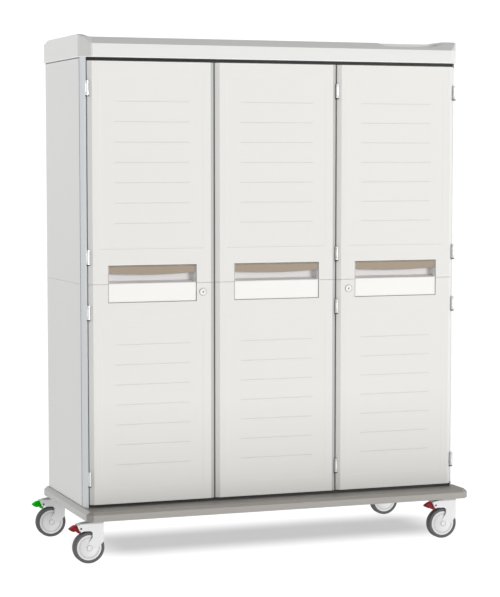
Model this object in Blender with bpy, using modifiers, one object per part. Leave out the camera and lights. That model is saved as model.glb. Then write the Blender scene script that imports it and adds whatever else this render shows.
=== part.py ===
"""Mobile supply cabinet: three door bays between a bumper base on casters and a moulded cover.

Metres, +Z up, the front faces -Y. The origin is on the floor, under the middle of the outer box.
While it is modelled, x = 0 is the left side of the body and y = 0 the plane of the door faces.
"""

import math

import bmesh
import bpy
from mathutils import Matrix, Vector

# Clearances
fit_gap = 0.0003
overrun = 0.010
overlap = 0.0015
running_gap = 0.0012
bore_gap = 0.0005
weld_distance = 0.000001

# Doors
door_count = 3
door_face = 0.495
door_depth = 0.024
door_height = 1.768
door_foot_gap = 0.0128
door_head_gap = 0.0147
door_gap = 0.0044
long_bevel_width = 0.017
long_bevel_depth = 0.010
seam_gap = 0.0012
field_half_width = 0.217
field_inner = 0.1429
field_from_end = 0.0608
field_depth = 0.0005
field_slope = 0.006
groove_count = 7
groove_first = 0.2425
groove_from_field_end = 0.0965
groove_half_length = 0.171
groove_half_height = 0.0022
groove_depth = 0.0013
groove_end_share = 0.1

# Body
post_face = 0.0158
body_depth = 0.5848
side_front = 0.0484
side_thickness = 0.012
side_edge_relief = 0.0015
post_bow_power = 1.6
back_thickness = 0.008
back_inset = 0.003
back_rib_count = 4
back_rib_width = 0.060
back_rib_depth = 0.0025
flange_front = 0.0275
flange_thickness = 0.0035
flange_half_width = 0.018
nose_half_width = 0.005
nose_front = 0.0255
mullion_web_step = 0.0005
wall_half_thickness = 0.005
runner_count = 10
runner_reach = 0.009
runner_root_height = 0.009
runner_tip_height = 0.005
runner_inset = 0.040
liner_thickness = 0.004
shelf_front = 0.033

# Base
base_height = 0.038
base_bevel = 0.012
base_front = 0.102
base_side = 0.019
base_rear = 0.034
base_corner = 0.024
rebate_inset = 0.020
pan_thickness = 0.006
pocket_columns = 9
pocket_rows = 4
pocket_rib = 0.012
pocket_rim = 0.030
skin = 0.008

# Cover
cover_side = 0.0057
cover_front = 0.004
fascia_height = 0.0532
slope_width = 0.0271
nose_run = 0.039
rim_rise = 0.0112
rim_width_left = 0.0177
rim_width_right = 0.050
rim_ease = 0.026
rim_ease_steps = 4
rear_chamfer_run = 0.062
rear_chamfer_drop = 0.015
cover_corner = 0.040
scoop_length = 0.1917
scoop_left_lean = 0.050
scoop_right_inset = 0.1445
scoop_ramp_run = 0.083
scoop_floor_rise = 0.0128
scoop_back = 0.055

# Handles
pan_from_edge = 0.0795
pan_half_height = 0.0737
pan_depth = 0.0355
pan_wall = 0.0022
label_top = 0.0010
label_thickness = 0.0025
lip_rise = 0.0112
grip_front = 0.003
grip_thickness = 0.009
grip_end_bottom = 0.0430
grip_middle_bottom = 0.0365
grip_top_gap = 0.0012
grip_edge = 0.002

# Hinges
hinge_low = 0.110
hinge_from_end = 0.106
barrel_radius = 0.0063
barrel_gap = 0.0004
axis_behind_face = 0.003
middle_barrel = 0.036
top_barrel = 0.009
bottom_barrel = 0.015
pin_radius = 0.003
leaf_thickness = 0.0015
leaf_back = 0.021
tab_front = 0.003
web_root = 0.0105
notch_reach = 0.0088

# Locks
lock_from_pan = 0.0285
lock_below_seam = 0.038
lock_radius = 0.0137
lock_barrel_radius = 0.0095
lock_proud = 0.0025
key_slot_width = 0.0022
key_slot_length = 0.009
key_slot_depth = 0.0015
cam_half_width = 0.006
cam_reach = 0.042
cam_thickness = 0.0025
cam_clearance = 0.0012

# Casters
wheel_radius = 0.0635
caster_height_share = 2.724409
tyre_width = 0.033
tyre_shoulder = 0.003
tyre_inner_radius_share = 0.806299
hub_width = 0.0304
hub_groove_radius_share = 0.658268
hub_groove_width = 0.0024
hub_groove_depth = 0.0012
axle_radius = 0.005
trail_share = 0.677165
stem_inset = 0.060
swivel_plate_radius = 0.026
swivel_plate_height = 0.006
swivel_head_radius = 0.014
swivel_gap = 0.001
fork_half_width = 0.0225
fork_boss_radius_share = 0.228346
cheek_gap_half = 0.018
wheel_clearance = 0.0025
lever_reach_share = 0.708661
lever_half_width = 0.0120
lever_side_gap = 0.0005
lever_pin_radius = 0.003
lever_pivot_back_share = 0.548031
lever_pivot_rise_share = 1.255118
lever_slot_back_share = 0.472441
lever_slot_front_share = 0.173228
lever_slot_drop_share = 0.467717
lever_slot_rise_share = 0.19685

# Facets on round pieces
wheel_steps = 24
barrel_steps = 12
disc_steps = 24
boss_steps = 6
smooth_below_degrees = 35

# Worked out from the sizes above
door_outer = door_face + 2 * long_bevel_width
door_pitch = door_outer + door_gap
body_width = 2 * post_face + door_count * door_outer + (door_count + 1) * door_gap
base_bottom = caster_height_share * wheel_radius
base_top = base_bottom + base_height
door_bottom = base_top + door_foot_gap
seam = door_bottom + door_height / 2
door_top = door_bottom + door_height
cover_bottom = door_top + door_head_gap
field_outer = door_height / 2 - field_from_end
groove_pitch = (field_outer - groove_from_field_end - groove_first) / (groove_count - 1)
fascia_top = cover_bottom + fascia_height
plateau = fascia_top + slope_width
cover_top = plateau + rim_rise
floor_top = door_bottom - fit_gap
roof_bottom = door_top - fit_gap
roof_top = cover_bottom - fit_gap
flange_back = flange_front + flange_thickness
back_front = body_depth - back_inset - back_thickness
shelf_back = back_front - fit_gap
hinge_high = door_height / 2 - hinge_from_end
hinge_heights = [seam + sign * rise for sign in (-1, 1) for rise in (hinge_low, hinge_high)]
hinge_bottom = middle_barrel / 2 + barrel_gap + bottom_barrel
hinge_top = middle_barrel / 2 + barrel_gap + top_barrel
axle_height = wheel_radius
tyre_inner_radius = tyre_inner_radius_share * wheel_radius
hub_groove_radius = hub_groove_radius_share * wheel_radius
trail = trail_share * wheel_radius
fork_boss_radius = fork_boss_radius_share * wheel_radius
lever_reach = lever_reach_share * wheel_radius
lever_pivot_back = lever_pivot_back_share * wheel_radius
lever_pivot_rise = lever_pivot_rise_share * wheel_radius
lever_slot_back = lever_slot_back_share * wheel_radius
lever_slot_front = lever_slot_front_share * wheel_radius
lever_slot_drop = lever_slot_drop_share * wheel_radius
lever_slot_rise = lever_slot_rise_share * wheel_radius
fork_top = base_bottom - swivel_plate_height - swivel_gap
pan_half_width = door_outer / 2 - pan_from_edge
lock_from_centre = pan_half_width + lock_from_pan
lever_tip_back = trail + lever_pivot_back + lever_reach
box_left = min(-base_side, stem_inset - base_side - lever_tip_back)
box_right = body_width + base_side
box_front = -base_front
box_rear = body_depth + base_rear
origin_x = (box_left + box_right) / 2
origin_y = (box_front + box_rear) / 2


def door_centre(index):
    return post_face + door_gap + door_outer / 2 + index * door_pitch


def gap_centre(index):
    return post_face + door_gap / 2 + index * door_pitch


def clear_scene():
    for item in list(bpy.data.objects):
        bpy.data.objects.remove(item, do_unlink=True)


def new_collection(name, hidden=False):
    made = bpy.data.collections.new(name)
    made.hide_render = hidden
    bpy.context.scene.collection.children.link(made)
    return made


def material(name, colour, roughness, metallic=0.0):
    made = bpy.data.materials.new(name)
    made.use_nodes = True
    shader = made.node_tree.nodes["Principled BSDF"]
    shader.inputs["Base Color"].default_value = (*colour, 1)
    shader.inputs["Roughness"].default_value = roughness
    shader.inputs["Metallic"].default_value = metallic
    return made


clear_scene()
cabinet = new_collection("mobile_supply_cabinet")
cutters = new_collection("cutters", hidden=True)

door_white = material("door_white", (0.80, 0.79, 0.76), 0.45)
body_white = material("body_white", (0.78, 0.78, 0.77), 0.45)
cover_white = material("cover_white", (0.76, 0.76, 0.74), 0.45)
pan_grey = material("pan_grey", (0.70, 0.68, 0.68), 0.45)
label_white = material("label_white", (0.88, 0.87, 0.85), 0.40)
taupe = material("taupe", (0.40, 0.33, 0.26), 0.40)
base_grey = material("base_grey", (0.36, 0.34, 0.32), 0.50)
aluminium = material("aluminium", (0.72, 0.74, 0.76), 0.32, 0.9)
steel = material("steel", (0.60, 0.60, 0.61), 0.28, 1.0)
caster_grey = material("caster_grey", (0.70, 0.70, 0.69), 0.45)
tyre_grey = material("tyre_grey", (0.10, 0.10, 0.10), 0.60)
lever_red = material("lever_red", (0.45, 0.01, 0.01), 0.40)
lever_green = material("lever_green", (0.02, 0.30, 0.04), 0.40)

# The cabinet hangs from one empty at the left front corner of the body, on the floor.
corner = bpy.data.objects.new("cabinet_corner", None)
corner.location = (-origin_x, -origin_y, 0)
cabinet.objects.link(corner)


def pivot(name, place, parent=corner):
    made = bpy.data.objects.new(name, None)
    made.location = place
    made.parent = parent
    cabinet.objects.link(made)
    return made


def mesh_object(name, shape, surface=None):
    """Makes an object from a bmesh. Without a surface it is a cutter."""
    bmesh.ops.recalc_face_normals(shape, faces=shape.faces)
    mesh = bpy.data.meshes.new(name)
    shape.to_mesh(mesh)
    shape.free()
    made = bpy.data.objects.new(name, mesh)
    if surface:
        mesh.materials.append(surface)
        cabinet.objects.link(made)
    else:
        made.display_type = "WIRE"
        made.hide_render = True
        cutters.objects.link(made)
    return made


def box(name, low, high, surface=None):
    shape = bmesh.new()
    middle = (Vector(low) + Vector(high)) / 2
    size = Vector(high) - Vector(low)
    bmesh.ops.create_cube(shape, size=1, matrix=Matrix.Translation(middle) @ Matrix.Diagonal((*size, 1)))
    return mesh_object(name, shape, surface)


def rod(name, start, end, radius, steps, surface=None):
    """A round bar between two points."""
    start = Vector(start)
    reach = Vector(end) - start
    turn = reach.to_track_quat("Z", "Y").to_matrix().to_4x4()
    shape = bmesh.new()
    bmesh.ops.create_cone(
        shape, cap_ends=True, segments=steps, radius1=radius, radius2=radius, depth=reach.length,
        matrix=Matrix.Translation(start + reach / 2) @ turn,
    )
    return mesh_object(name, shape, surface)


# Each plane turns a flat outline and its thickness into x, y and z.
planes = {
    "XY": Matrix(((1, 0, 0, 0), (0, 1, 0, 0), (0, 0, 1, 0), (0, 0, 0, 1))),
    "XZ": Matrix(((1, 0, 0, 0), (0, 0, -1, 0), (0, 1, 0, 0), (0, 0, 0, 1))),
    "YZ": Matrix(((0, 0, 1, 0), (1, 0, 0, 0), (0, 1, 0, 0), (0, 0, 0, 1))),
}


def slab(name, plane, outline, low, high, surface=None):
    """A flat outline made thick between two places on the plane's third axis."""
    depth_sign = -1 if plane == "XZ" else 1
    shape = bmesh.new()
    near, far = [
        [shape.verts.new(planes[plane] @ Vector((across, up, depth_sign * place))) for across, up in outline]
        for place in (low, high)
    ]
    caps = [shape.faces.new(near), shape.faces.new(far)]
    for index, after in enumerate([*range(1, len(outline)), 0]):
        shape.faces.new((near[index], near[after], far[after], far[index]))
    bmesh.ops.remove_doubles(shape, verts=shape.verts, dist=weld_distance)
    bmesh.ops.triangulate(shape, faces=[cap for cap in caps if cap.is_valid], ngon_method="EAR_CLIP")
    return mesh_object(name, shape, surface)


def combine(target, other, operation):
    step = target.modifiers.new(other.name, "BOOLEAN")
    step.operation = operation
    step.object = other
    step.solver = "EXACT"


def cut(target, *others):
    for other in others:
        combine(target, other, "DIFFERENCE")


def join(target, *others):
    for other in others:
        combine(target, other, "UNION")


def hang(piece, parent=corner, place=(0, 0, 0)):
    piece.parent = parent
    piece.location = place
    for step in piece.modifiers:
        if step.type == "BOOLEAN":
            step.object.parent = parent
            step.object.location = place
    return piece


def settle(piece):
    """Turns an object's modifiers into its mesh, so that copies can share it."""
    bpy.context.view_layer.update()
    mesh = bpy.data.meshes.new_from_object(piece.evaluated_get(bpy.context.evaluated_depsgraph_get()))
    piece.modifiers.clear()
    piece.data = mesh
    return mesh


def turned(name, profile, steps, surface):
    """A profile of (radius, height) points, closed into a ring and turned about Z."""
    shape = bmesh.new()
    points = [shape.verts.new((radius, 0, height)) for radius, height in profile]
    for first, second in zip(points, points[1:] + points[:1]):
        shape.edges.new((first, second))
    mesh = bpy.data.meshes.new(name)
    shape.to_mesh(mesh)
    shape.free()
    mesh.materials.append(surface)
    made = bpy.data.objects.new(name, mesh)
    cabinet.objects.link(made)
    screw = made.modifiers.new("turn", "SCREW")
    screw.steps = steps
    screw.render_steps = steps
    screw.use_merge_vertices = True
    screw.merge_threshold = weld_distance
    return made


def arc(centre, radius, start, end, count):
    """Points on a round stretch of an outline, from one angle to the other, in degrees."""
    angles = [math.radians(start + (end - start) * step / (count - 1)) for step in range(count)]
    return [(centre[0] + radius * math.cos(turn), centre[1] + radius * math.sin(turn)) for turn in angles]


def faceted_plan(left, right, front, rear, facet, rear_facet=0.0):
    """A plan outline with its front corners cut, and its rear ones where a size is given."""
    outline = [(left + facet, front), (right - facet, front), (right, front + facet)]
    if rear_facet:
        outline += [(right, rear - rear_facet), (right - rear_facet, rear)]
        outline += [(left + rear_facet, rear), (left, rear - rear_facet)]
    else:
        outline += [(right, rear), (left, rear)]
    return outline + [(left, front + facet)]


def pocket_grid(name, low, high, columns, rows, rib):
    """Box pockets in columns and rows, with a rib between each and the next."""
    shape = bmesh.new()
    wide = (high[0] - low[0] - (columns - 1) * rib) / columns
    deep = (high[1] - low[1] - (rows - 1) * rib) / rows
    tall = high[2] - low[2]
    for column in range(columns):
        for row in range(rows):
            middle = (
                low[0] + wide / 2 + column * (wide + rib),
                low[1] + deep / 2 + row * (deep + rib),
                low[2] + tall / 2,
            )
            move = Matrix.Translation(middle) @ Matrix.Diagonal((wide, deep, tall, 1))
            bmesh.ops.create_cube(shape, size=1, matrix=move)
    return mesh_object(name, shape)


# Base

def build_base():
    facing_share = 0.9
    left, right = -base_side, body_width + base_side
    front, rear = -base_front, body_depth + base_rear
    base = slab(
        "base_bumper", "XY", faceted_plan(left, right, front, rear, base_corner, base_corner),
        base_bottom, base_top - base_bevel, base_grey,
    )
    shape = bmesh.new()
    shape.from_mesh(base.data)
    top = [face for face in shape.faces if face.normal.z > facing_share]
    bmesh.ops.dissolve_faces(shape, faces=top)
    top = [face for face in shape.faces if face.normal.z > facing_share]
    bmesh.ops.inset_region(shape, faces=top, thickness=base_bevel, depth=base_bevel, use_even_offset=True)
    shape.to_mesh(base.data)
    shape.free()
    rebate = box(
        "deck_rebate",
        (left + rebate_inset, front + rebate_inset, base_bottom - overrun),
        (right - rebate_inset, rear - rebate_inset, base_bottom + pan_thickness + fit_gap),
    )
    pockets = pocket_grid(
        "base_pockets",
        (left + pocket_rim, front + pocket_rim, base_bottom),
        (right - pocket_rim, rear - pocket_rim, base_top - skin),
        pocket_columns, pocket_rows, pocket_rib,
    )
    cut(base, rebate, pockets)
    hang(base)


def stem_places():
    left, right = stem_inset - base_side, body_width + base_side - stem_inset
    front, rear = stem_inset - base_front, body_depth + base_rear - stem_inset
    return {
        "front_left": (left, front), "rear_left": (left, rear),
        "front_right": (right, front), "rear_right": (right, rear),
    }


def build_deck():
    inset = rebate_inset + fit_gap
    deck = box(
        "base_deck",
        (inset - base_side, inset - base_front, base_bottom),
        (body_width + base_side - inset, body_depth + base_rear - inset, base_bottom + pan_thickness),
        steel,
    )
    for name, (x, y) in stem_places().items():
        plate = rod(
            "swivel_plate_" + name,
            (x, y, base_bottom - swivel_plate_height), (x, y, base_bottom + overlap),
            swivel_plate_radius, disc_steps,
        )
        join(deck, plate)
    hang(deck)


# Body

def runner_outline(root, direction, low, high):
    """One side of a wall with its moulded runners, from the bottom up, as (x, z) points."""
    outline = [(root, low)]
    pitch = (high - low - 2 * runner_inset) / (runner_count - 1)
    for index in range(runner_count):
        middle = low + runner_inset + index * pitch
        tip = root + direction * runner_reach
        outline += [
            (root, middle - runner_root_height / 2), (tip, middle - runner_tip_height / 2),
            (tip, middle + runner_tip_height / 2), (root, middle + runner_root_height / 2),
        ]
    return outline + [(root, high)]


def build_liner(name, wall_x, direction):
    """The moulded runner panel inside one side wall. Direction is 1 where it faces right."""
    low, high = floor_top + fit_gap, roof_bottom - fit_gap
    outer = wall_x + direction * fit_gap
    face = runner_outline(outer + direction * liner_thickness, direction, low, high)
    outline = face + [(outer, high), (outer, low)]
    liner = slab(name, "XZ", outline, side_front + fit_gap, back_front - fit_gap, body_white)
    hang(liner)


def build_side(name, left, right, low, high, outer_sign):
    """One side panel. Its outer edges at top and bottom are eased, which draws the seam."""
    outer = right if outer_sign > 0 else left
    inner = left if outer_sign > 0 else right
    relief = outer - outer_sign * side_edge_relief
    outline = [
        (inner, low), (relief, low), (outer, low + side_edge_relief),
        (outer, high - side_edge_relief), (relief, high), (inner, high),
    ]
    side = slab(name, "XZ", outline, side_front, body_depth, body_white)
    hang(side)


def build_sides():
    low, high = base_top + fit_gap, cover_bottom - fit_gap
    inner_right = body_width - side_thickness
    for half, (bottom, top) in {
        "lower": (low, seam - fit_gap / 2), "upper": (seam + fit_gap / 2, high),
    }.items():
        build_side("side_left_" + half, 0, side_thickness, bottom, top, -1)
        build_side("side_right_" + half, inner_right, body_width, bottom, top, 1)
    build_liner("liner_left", side_thickness, 1)
    build_liner("liner_right", inner_right, -1)


def build_back():
    low, high = base_top + fit_gap, cover_bottom - fit_gap
    left, right = side_thickness + fit_gap, body_width - side_thickness - fit_gap
    rear = back_front + back_thickness
    pitch = (right - left) / back_rib_count
    half = back_rib_width / 2
    sunk = back_rib_depth
    outline = [(left, back_front), (right, back_front), (right, rear)]
    for index in reversed(range(back_rib_count)):
        middle = left + pitch / 2 + index * pitch
        outline += [(middle + half, rear), (middle + half - sunk, rear - sunk)]
        outline += [(middle - half + sunk, rear - sunk), (middle - half, rear)]
    outline.append((left, rear))
    back = slab("back_panel", "XY", outline, low, high, body_white)
    hang(back)


def build_shelf(name, low, high):
    """The floor or the roof of the bays, let in around the partitions and the corner posts."""
    left, right = side_thickness + fit_gap, body_width - side_thickness - fit_gap
    shelf = box(name, (left, shelf_front, low), (right, shelf_back, high), body_white)
    slot_back = side_front + overlap + fit_gap
    reach = wall_half_thickness + fit_gap
    for index in range(1, door_count):
        middle = gap_centre(index)
        slot = box(
            f"{name}_slot_{index}",
            (middle - reach, shelf_front - overrun, low - overrun),
            (middle + reach, slot_back, high + overrun),
        )
        cut(shelf, slot)
    corner_width = side_thickness + liner_thickness + overrun
    for end, start, stop in (("left", 0, corner_width), ("right", body_width - corner_width, body_width)):
        notch = box(
            f"{name}_notch_{end}",
            (start, shelf_front - overrun, low - overrun), (stop, side_front, high + overrun),
        )
        cut(shelf, notch)
    hang(shelf)


def build_floor_and_roof():
    build_shelf("floor_panel", base_top + fit_gap, floor_top)
    build_shelf("top_panel", roof_bottom, roof_top)


def knuckle(name, axis_x, height, web_from, web_to, web_back):
    """The frame half of a hinge: a bored middle barrel and the web that carries it."""
    low, high = height - middle_barrel / 2, height + middle_barrel / 2
    barrel = rod(
        name, (axis_x, axis_behind_face, low), (axis_x, axis_behind_face, high),
        barrel_radius, barrel_steps,
    )
    web = box(
        name + "_web",
        (min(web_from, web_to), axis_behind_face + overlap, low),
        (max(web_from, web_to), web_back, high),
    )
    bore = rod(
        name + "_bore",
        (axis_x, axis_behind_face, low - overrun), (axis_x, axis_behind_face, high + overrun),
        pin_radius + bore_gap, barrel_steps,
    )
    return barrel, web, bore


def build_post(name, side_x, direction, axis_x):
    """An aluminium corner post, with its rounded front and the flange behind the door edge."""
    low, high = base_top + fit_gap, cover_bottom - fit_gap
    face = long_bevel_depth
    rear = side_front - fit_gap
    bow_shares = (0, 0.30, 0.62, 0.88, 1)
    outline = []
    for share in bow_shares:
        across = post_face * share
        drop = (rear - face) * (1 - share) ** post_bow_power
        outline.append((side_x + direction * across, face + drop))
    edge = side_x + direction * post_face
    lip = side_x + direction * (post_face + door_gap / 2 + flange_half_width)
    web = side_x + direction * (post_face + flange_thickness)
    outline += [(edge, flange_front), (lip, flange_front), (lip, flange_back)]
    outline += [(web, flange_back), (web, rear)]
    post = slab(name, "XY", outline, low, high, aluminium)
    for index, height in enumerate(hinge_heights):
        barrel, web_piece, bore = knuckle(
            f"{name}_knuckle_{index}", axis_x, height,
            edge - direction * overlap, axis_x - direction * barrel_gap, web_root + overrun,
        )
        join(post, barrel, web_piece)
        cut(post, bore)
    hang(post)


def build_partition(name, index, with_knuckles):
    """A wall between two bays, with runners on both faces and the mullion on its front edge."""
    middle = gap_centre(index)
    low, high = floor_top + fit_gap, roof_bottom - fit_gap
    right_face = runner_outline(middle + wall_half_thickness, 1, low, high)
    left_face = runner_outline(middle - wall_half_thickness, -1, low, high)
    outline = right_face + left_face[::-1]
    wall = slab(name, "XZ", outline, side_front + fit_gap, shelf_back, body_white)
    web = wall_half_thickness - mullion_web_step
    flange_outline = [
        (middle - nose_half_width, nose_front), (middle + nose_half_width, nose_front),
        (middle + nose_half_width, flange_front), (middle + flange_half_width, flange_front),
        (middle + flange_half_width, flange_back), (middle + web, flange_back),
        (middle + web, side_front + overlap), (middle - web, side_front + overlap),
        (middle - web, flange_back), (middle - flange_half_width, flange_back),
        (middle - flange_half_width, flange_front), (middle - nose_half_width, flange_front),
    ]
    bottom, top = base_top + fit_gap, cover_bottom - fit_gap
    mullion = slab(name + "_mullion", "XY", flange_outline, bottom, top)
    join(wall, mullion)
    for end, (start, stop) in enumerate(((bottom - overrun, low), (high, top + overrun))):
        for side in (-1, 1):
            inner, outer = middle + side * nose_half_width, middle + side * (flange_half_width + overrun)
            trim = box(
                f"{name}_trim_{end}_{side}", (min(inner, outer), nose_front - overrun, start),
                (max(inner, outer), side_front, stop),
            )
            cut(wall, trim)
    if with_knuckles:
        for number, height in enumerate(hinge_heights):
            barrel, web_piece, bore = knuckle(
                f"{name}_knuckle_{number}", middle, height,
                middle + barrel_gap, middle + barrel_gap + leaf_thickness, nose_front + overlap,
            )
            join(wall, barrel, web_piece)
            cut(wall, bore)
    hang(wall)


# Cover

def build_cover():
    left, right = -cover_side, body_width + cover_side
    front, rear = -cover_front, body_depth
    plan = faceted_plan(left, right, front, rear, cover_corner)
    cover = slab("top_cover", "XY", plan, cover_bottom, cover_top + overrun, cover_white)
    profile = [
        (front, cover_bottom - overrun), (front, fascia_top), (front + slope_width, plateau),
        (front + slope_width + nose_run, cover_top), (rear - rear_chamfer_run, cover_top),
        (rear, cover_top - rear_chamfer_drop), (rear, cover_bottom - overrun),
    ]
    side_profile = slab("cover_profile", "YZ", profile, left - overrun, right + overrun)
    ease = []
    for step in range(rim_ease_steps + 1):
        share = step / rim_ease_steps
        fall = rim_rise * (1 - math.cos(math.pi * share)) / 2
        ease.append((rim_ease * share, cover_top - fall))
    across = [(left - overrun, cover_bottom - overrun), (right + overrun, cover_bottom - overrun)]
    across += [(right + overrun, cover_top)]
    across += [(right - rim_width_right - inset, height) for inset, height in ease]
    across += [(left + rim_width_left + inset, height) for inset, height in reversed(ease)]
    across += [(left - overrun, cover_top)]
    end_profile = slab("cover_ends", "XZ", across, front - overrun, rear + overrun)
    combine(cover, side_profile, "INTERSECT")
    combine(cover, end_profile, "INTERSECT")
    floor = fascia_top + scoop_floor_rise
    scoop_top = plateau + overrun
    scoop_right = right - scoop_right_inset
    scoop_left = scoop_right - scoop_length
    ramp_shares = ((0, 0), (0.5, 0.22), (0.82, 0.6), (1, 1))
    ramp_rise = scoop_top - floor
    ramp = [(scoop_right + across * scoop_ramp_run, floor + up * ramp_rise) for across, up in ramp_shares]
    scoop_outline = [(scoop_left, floor)] + ramp + [(scoop_left - scoop_left_lean, scoop_top)]
    scoop = slab("scoop", "XZ", scoop_outline, front - overrun, scoop_back)
    front_pockets = pocket_grid(
        "cover_front_pockets",
        (pocket_rim, pocket_rim, cover_bottom - overrun),
        (body_width - pocket_rim, scoop_back, fascia_top),
        pocket_columns, 1, pocket_rib,
    )
    pockets = pocket_grid(
        "cover_pockets",
        (pocket_rim, scoop_back + pocket_rib, cover_bottom - overrun),
        (body_width - pocket_rim, body_depth - pocket_rim, plateau - skin),
        pocket_columns, pocket_rows, pocket_rib,
    )
    cut(cover, scoop, front_pockets, pockets)
    hang(cover)


# Doors

def groove_cutter(name, heights):
    """Shallow grooves that fade out at both ends."""
    shape = bmesh.new()
    across_shares = (-1, -0.85, 0.85, 1)
    for height in heights:
        sections = []
        for share in across_shares:
            size = groove_end_share if abs(share) == 1 else 1
            x = share * groove_half_length
            tall = groove_half_height * size
            sunk = field_depth + groove_depth * size
            sections.append([
                shape.verts.new((x, -overrun, height - tall)),
                shape.verts.new((x, -overrun, height + tall)),
                shape.verts.new((x, field_depth, height + tall)),
                shape.verts.new((x, sunk, height)),
                shape.verts.new((x, field_depth, height - tall)),
            ])
        for first, second in zip(sections, sections[1:]):
            for corner_index in range(len(first)):
                following = (corner_index + 1) % len(first)
                near, far = first[corner_index], first[following]
                shape.faces.new((near, far, second[following], second[corner_index]))
        shape.faces.new(sections[0])
        shape.faces.new(sections[-1][::-1])
    return mesh_object(name, shape)


def field_cutter(name, low, high):
    """The sunk field of a door panel, with sloped edges."""
    shape = bmesh.new()
    middle = (low + high) / 2
    size = (2 * field_half_width, overrun, high - low)
    move = Matrix.Translation((0, -overrun / 2, middle)) @ Matrix.Diagonal((*size, 1))
    bmesh.ops.create_cube(shape, size=1, matrix=move)
    inner = [face for face in shape.faces if face.calc_center_median().y > -overrun / 4]
    bmesh.ops.recalc_face_normals(shape, faces=shape.faces)
    bmesh.ops.inset_region(shape, faces=inner, thickness=field_slope, depth=field_depth)
    return mesh_object(name, shape)


def door_plan():
    half = door_outer / 2
    flat = door_face / 2
    return [
        (-flat, 0), (flat, 0), (half, long_bevel_depth), (half, door_depth),
        (-half, door_depth), (-half, long_bevel_depth),
    ]


def build_door_panel(index, half, parent, shift):
    """One half of a door. Heights are counted from the seam, up or down by the sign."""
    sign = 1 if half == "upper" else -1
    near, far = sign * seam_gap / 2, sign * door_height / 2
    name = f"door_{index + 1}_{half}"
    panel = slab(name, "XY", door_plan(), min(near, far), max(near, far), door_white)
    tall = pan_half_height + fit_gap
    notch_ends = sorted((sign * tall, -sign * overrun))
    notch = box(
        name + "_pan_notch",
        (-pan_half_width - fit_gap, -overrun, notch_ends[0]),
        (pan_half_width + fit_gap, door_depth + overrun, notch_ends[1]),
    )
    field_ends = sorted((sign * field_inner, sign * field_outer))
    field = field_cutter(name + "_field", *field_ends)
    groove_heights = [sign * (groove_first + step * groove_pitch) for step in range(groove_count)]
    grooves = groove_cutter(name + "_grooves", groove_heights)
    cut(panel, notch, field, grooves)
    if half == "lower" and index != 1:
        side = 1 if index == 0 else -1
        x = side * lock_from_centre
        hole = rod(
            name + "_lock_hole",
            (x, -overrun, -lock_below_seam), (x, door_depth + overrun, -lock_below_seam),
            lock_barrel_radius + fit_gap, disc_steps,
        )
        cut(panel, hole)
    if index == 2:
        edge = -door_outer / 2
        for number, height in enumerate(hinge_heights):
            rise = height - seam
            if rise * sign < 0:
                continue
            relief = box(
                f"{name}_relief_{number}",
                (edge - overrun, -overrun, rise - hinge_bottom - running_gap),
                (edge - door_gap / 2 + notch_reach, door_depth + overrun, rise + hinge_top + running_gap),
            )
            cut(panel, relief)
    hang(panel, parent, shift)


def build_pan(index, parent, shift):
    wide, tall = pan_half_width - fit_gap, pan_half_height - fit_gap
    pan = box(f"handle_pan_{index + 1}", (-wide, fit_gap, -tall), (wide, pan_depth, tall), pan_grey)
    inner = wide - pan_wall
    floor = pan_depth - pan_wall
    recess = slab(
        f"recess_{index + 1}", "YZ",
        [(-overrun, label_top + pan_wall), (fit_gap, label_top + pan_wall), (floor, label_top + lip_rise),
         (floor, tall - pan_wall), (-overrun, tall - pan_wall)],
        -inner, inner,
    )
    rebate = box(
        f"label_rebate_{index + 1}",
        (-inner, -overrun, -tall + pan_wall), (inner, label_thickness + 2 * fit_gap, label_top),
    )
    cut(pan, recess, rebate)
    hang(pan, parent, shift)
    label = box(
        f"label_strip_{index + 1}",
        (-inner + fit_gap, fit_gap, -tall + pan_wall + fit_gap),
        (inner - fit_gap, fit_gap + label_thickness, label_top - fit_gap), label_white,
    )
    hang(label, parent, shift)


def build_grip(index, parent, shift):
    wide = pan_half_width - 2 * fit_gap - pan_wall
    top = pan_half_height - 2 * fit_gap - pan_wall - grip_top_gap
    outline = [(wide, top), (-wide, top)]
    bow_shares = (-1, -0.6, -0.2, 0.2, 0.6, 1)
    for share in bow_shares:
        drop = (grip_end_bottom - grip_middle_bottom) * (1 - share * share)
        outline.append((share * wide, grip_end_bottom - drop))
    grip = slab(f"grip_{index + 1}", "XZ", outline, grip_front, grip_front + grip_thickness, taupe)
    ease = grip.modifiers.new("eased_edges", "BEVEL")
    ease.width = grip_edge
    ease.segments = 1
    ease.limit_method = "ANGLE"
    hang(grip, parent, shift)


def hinge_leaf_mesh(mirror):
    """The door half of a hinge, about its own axis: end barrels, pin, and the leaf on the door edge."""
    low, high = -hinge_bottom, hinge_top
    middle = middle_barrel / 2
    leaf_from, leaf_to = barrel_gap, barrel_gap + leaf_thickness
    leaf_start = web_root - axis_behind_face
    lower_top, upper_bottom = -middle - barrel_gap, middle + barrel_gap
    hinge = rod("hinge_leaf", (0, 0, low), (0, 0, lower_top), barrel_radius, barrel_steps, steel)
    top = rod("hinge_top", (0, 0, upper_bottom), (0, 0, high), barrel_radius, barrel_steps)
    pin = rod("hinge_pin", (0, 0, low + overlap), (0, 0, high - overlap), pin_radius, barrel_steps)
    leaf = box("hinge_plate", (leaf_from, leaf_start, low), (leaf_to, leaf_back, high))
    tab_back = leaf_start + overlap
    lower_tab = box("hinge_lower_tab", (leaf_from, tab_front, low), (leaf_to, tab_back, lower_top))
    upper_tab = box("hinge_upper_tab", (leaf_from, tab_front, upper_bottom), (leaf_to, tab_back, high))
    join(hinge, top, pin, leaf, lower_tab, upper_tab)
    mesh = settle(hinge)
    bpy.data.objects.remove(hinge, do_unlink=True)
    if mirror:
        mesh.transform(Matrix.Diagonal((-1, 1, 1, 1)))
        mesh.flip_normals()
    return mesh


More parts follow.
